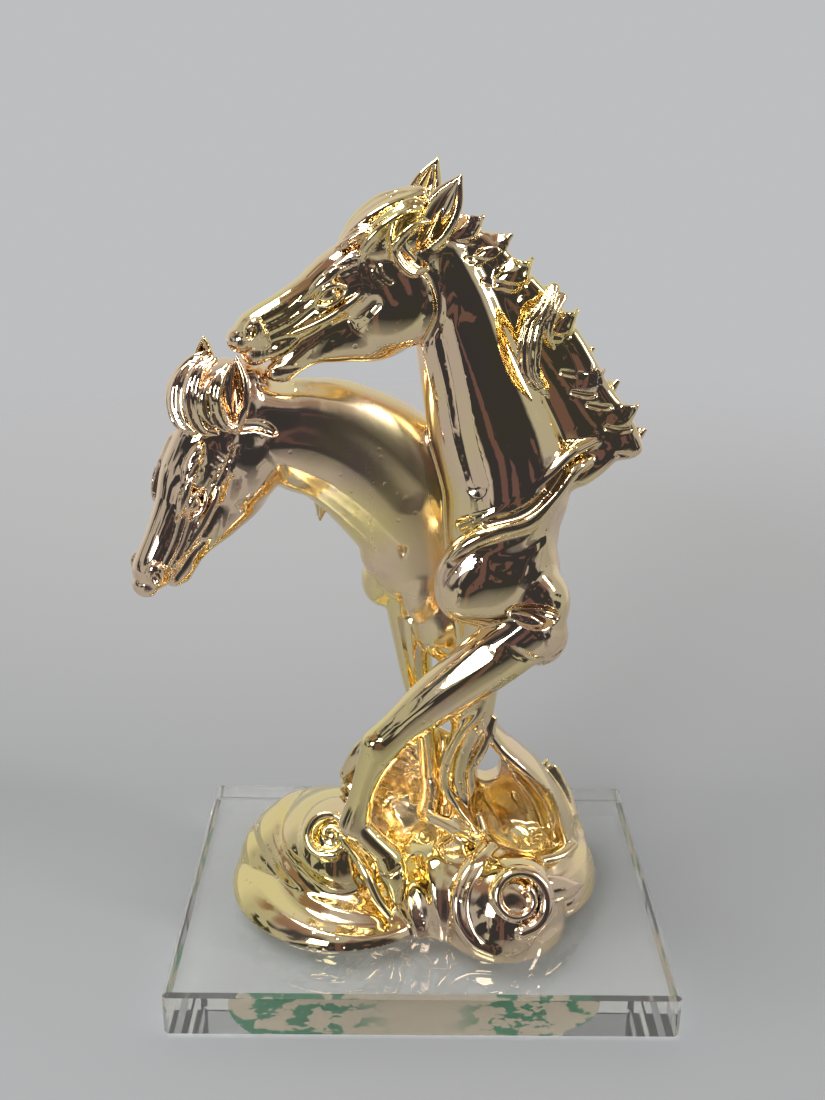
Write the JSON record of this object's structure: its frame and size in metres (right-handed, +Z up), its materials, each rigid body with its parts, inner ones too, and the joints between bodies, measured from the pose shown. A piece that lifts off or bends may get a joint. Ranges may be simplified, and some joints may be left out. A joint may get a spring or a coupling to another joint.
{
  "type": "gilt horse figure group on a glass plinth",
  "caption": "Gold-plated casting of two horses rising from a breaking wave, heads together, one foreleg bent, standing on a clear chamfered glass plinth.",
  "frame": {"origin": "middle of the plinth's underside, on the surface that the figure stands on", "axes": "+Z up, the front that the picture shows faces -Y, +X to the viewer's right"},
  "size_m": [0.2082, 0.15, 0.3223],
  "materials": {
    "polished_gold": "mirror-polished gold plating, slightly satin on the lower horse's neck and in the wave's hollows",
    "clear_glass": "clear polished glass with narrow chamfers"
  },
  "bodies": {
    "root": {"gilt_horses": "polished_gold", "glass_plinth": "clear_glass"}
  },
  "joints": []
}
